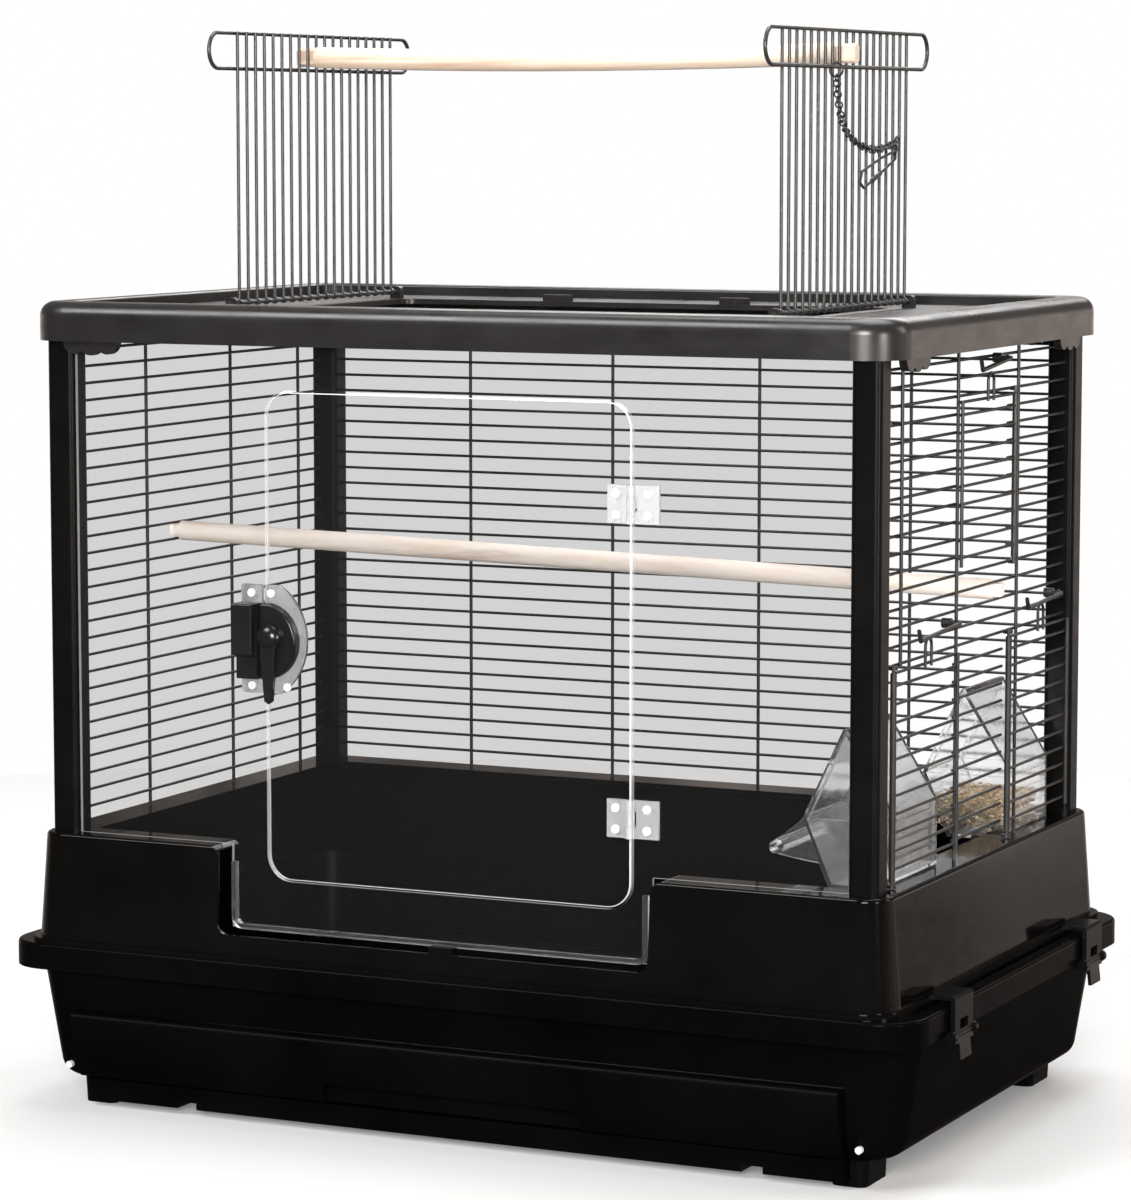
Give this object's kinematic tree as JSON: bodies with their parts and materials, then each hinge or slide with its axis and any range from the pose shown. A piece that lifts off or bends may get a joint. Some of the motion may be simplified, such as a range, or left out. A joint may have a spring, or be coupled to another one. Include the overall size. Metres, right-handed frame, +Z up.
{
  "type": "bird cage",
  "caption": "Tabletop play-top bird cage: glossy moulded base with litter drawer, wire sides, clear hinged front door, hooded feeders, and raised roof flaps carrying a wooden perch.",
  "frame": {"origin": "bottom centre of the bounding box, on the surface that the feet stand on", "axes": "+X to the right seen from the front, +Y to the back, +Z up"},
  "size_m": [0.7366, 0.467, 0.7975],
  "materials": {
    "tub_plastic": "glossy black moulded plastic",
    "base_plastic": "glossy black moulded plastic",
    "drawer_plastic": "glossy black moulded plastic",
    "feet_plastic": "black moulded plastic",
    "post_plastic": "satin black plastic",
    "roof_plastic": "satin black moulded plastic",
    "clip_plastic": "black moulded plastic",
    "latch_plastic": "black moulded plastic",
    "clear_panel": "clear sheet plastic",
    "clear_door": "clear sheet plastic with polished edges",
    "clear_hinge": "clear moulded plastic",
    "clear_feeder": "clear moulded plastic",
    "grille_wire": "black coated wire",
    "feeder_door_wire": "black coated wire",
    "flap_wire": "black coated wire",
    "small_fittings": "black coated metal",
    "pin_steel": "bright steel",
    "screw_steel": "bright white-plated steel",
    "perch_wood": "plain turned hardwood"
  },
  "bodies": {
    "cage": {"tub": "tub_plastic", "feet": "feet_plastic", "runner_screws": "screw_steel", "skirt": "base_plastic", "panel_seat": "clear_hinge", "post_fl": "post_plastic", "post_fr": "post_plastic", "post_bl": "post_plastic", "post_br": "post_plastic", "top_frame": "roof_plastic", "frame_tabs": "roof_plastic", "rod_bearings": "roof_plastic", "roof_catches": "roof_plastic", "front_panel": "clear_panel", "hinge_leaves_panel": "clear_hinge", "hinge_pins": "pin_steel", "hinge_screws_panel": "screw_steel", "latch_plate_panel": "clear_hinge", "latch_keeper": "latch_plastic", "latch_screws_panel": "screw_steel", "back_grille": "grille_wire", "left_grille": "grille_wire", "right_grille": "grille_wire", "door_eyes": "small_fittings", "hook_plates": "small_fittings", "clip_ears": "clip_plastic"},
    "door": {"front_door": "clear_door", "hinge_leaves_door": "clear_hinge", "hinge_screws_door": "screw_steel", "latch_plate_door": "clear_hinge", "latch_case": "latch_plastic", "latch_screws_door": "screw_steel"},
    "lever": {"latch_lever": "latch_plastic"},
    "drawer": {"drawer_tray": "drawer_plastic", "drawer_front": "drawer_plastic"},
    "feeder_gate_upper": {"feeder_door_upper": "feeder_door_wire"},
    "feeder_gate_front": {"feeder_door_front": "feeder_door_wire"},
    "feeder_gate_back": {"feeder_door_back": "feeder_door_wire"},
    "hook_u": {"hook_upper": "small_fittings"},
    "hook_f": {"hook_front": "small_fittings"},
    "hook_b": {"hook_back": "small_fittings"},
    "feeder_f": {"feeder_cup_front": "clear_feeder", "feeder_hood_front": "clear_feeder"},
    "feeder_b": {"feeder_cup_back": "clear_feeder", "feeder_hood_back": "clear_feeder"},
    "roof_flap_left": {"flap_left": "flap_wire", "flap_ring_left": "flap_wire"},
    "roof_flap_right": {"flap_right": "flap_wire", "flap_ring_right": "flap_wire", "chain": "small_fittings", "chain_clip": "small_fittings"},
    "perch_top": {"top_perch": "perch_wood"},
    "perch_inner": {"inner_perch": "perch_wood"},
    "rim_clip_lf": {"clip_lf": "clip_plastic"},
    "rim_clip_lb": {"clip_lb": "clip_plastic"},
    "rim_clip_rf": {"clip_rf": "clip_plastic"},
    "rim_clip_rb": {"clip_rb": "clip_plastic"}
  },
  "joints": [
    {"name": "door_hinge", "type": "hinge", "parent": "cage", "child": "door", "pos_m": [0.1435, -0.212, 0.361], "axis": [0, 0, 1], "range_deg": [0, 115]},
    {"name": "latch_turn", "type": "hinge", "parent": "door", "child": "lever", "pos_m": [-0.138, -0.222, 0.362], "axis": [0, 1, 0], "range_deg": [0, 90]},
    {"name": "drawer_slide", "type": "slide", "parent": "cage", "child": "drawer", "axis": [0, -1, 0], "range_m": [0, 0.33]},
    {"name": "feeder_gate_upper_hinge", "type": "hinge", "parent": "cage", "child": "feeder_gate_upper", "pos_m": [0.32522, 0.066, 0.474], "axis": [0, 0, 1], "range_deg": [0, 100]},
    {"name": "feeder_gate_front_hinge", "type": "hinge", "parent": "cage", "child": "feeder_gate_front", "pos_m": [0.32522, -0.178, 0.284], "axis": [0, 0, -1], "range_deg": [0, 100]},
    {"name": "feeder_gate_back_hinge", "type": "hinge", "parent": "cage", "child": "feeder_gate_back", "pos_m": [0.32522, 0.057, 0.284], "axis": [0, 0, -1], "range_deg": [0, 100]},
    {"name": "hook_upper_turn", "type": "hinge", "parent": "cage", "child": "hook_u", "pos_m": [0.33422, 0.029, 0.562], "axis": [-1, 0, 0], "range_deg": [0, 6]},
    {"name": "hook_front_turn", "type": "hinge", "parent": "cage", "child": "hook_f", "pos_m": [0.33422, -0.072, 0.38], "axis": [-1, 0, 0], "range_deg": [0, 60]},
    {"name": "hook_back_turn", "type": "hinge", "parent": "cage", "child": "hook_b", "pos_m": [0.33422, 0.148, 0.38], "axis": [-1, 0, 0], "range_deg": [0, 60]},
    {"name": "feeder_front_lift", "type": "slide", "parent": "cage", "child": "feeder_f", "axis": [0, 0, 1], "range_m": [0, 0.02]},
    {"name": "feeder_back_lift", "type": "slide", "parent": "cage", "child": "feeder_b", "axis": [0, 0, 1], "range_m": [0, 0.02]},
    {"name": "roof_flap_left_hinge", "type": "hinge", "parent": "cage", "child": "roof_flap_left", "pos_m": [-0.217, 0, 0.5975], "axis": [0, -1, 0], "range_deg": [0, 80]},
    {"name": "roof_flap_right_hinge", "type": "hinge", "parent": "cage", "child": "roof_flap_right", "pos_m": [0.217, 0, 0.5975], "axis": [0, 1, 0], "range_deg": [0, 80]},
    {"name": "top_perch_shift", "type": "slide", "parent": "cage", "child": "perch_top", "axis": [1, 0, 0], "range_m": [-0.002, 0.002]},
    {"name": "inner_perch_shift", "type": "slide", "parent": "cage", "child": "perch_inner", "axis": [0, 1, 0], "range_m": [-0.03, 0.02]},
    {"name": "clip_lf_turn", "type": "hinge", "parent": "cage", "child": "rim_clip_lf", "pos_m": [-0.3641, -0.142, 0.104], "axis": [0, -1, 0], "range_deg": [0, 50]},
    {"name": "clip_lb_turn", "type": "hinge", "parent": "cage", "child": "rim_clip_lb", "pos_m": [-0.3641, 0.142, 0.104], "axis": [0, -1, 0], "range_deg": [0, 50]},
    {"name": "clip_rf_turn", "type": "hinge", "parent": "cage", "child": "rim_clip_rf", "pos_m": [0.3641, -0.142, 0.104], "axis": [0, 1, 0], "range_deg": [0, 50]},
    {"name": "clip_rb_turn", "type": "hinge", "parent": "cage", "child": "rim_clip_rb", "pos_m": [0.3641, 0.142, 0.104], "axis": [0, 1, 0], "range_deg": [0, 50]}
  ]
}
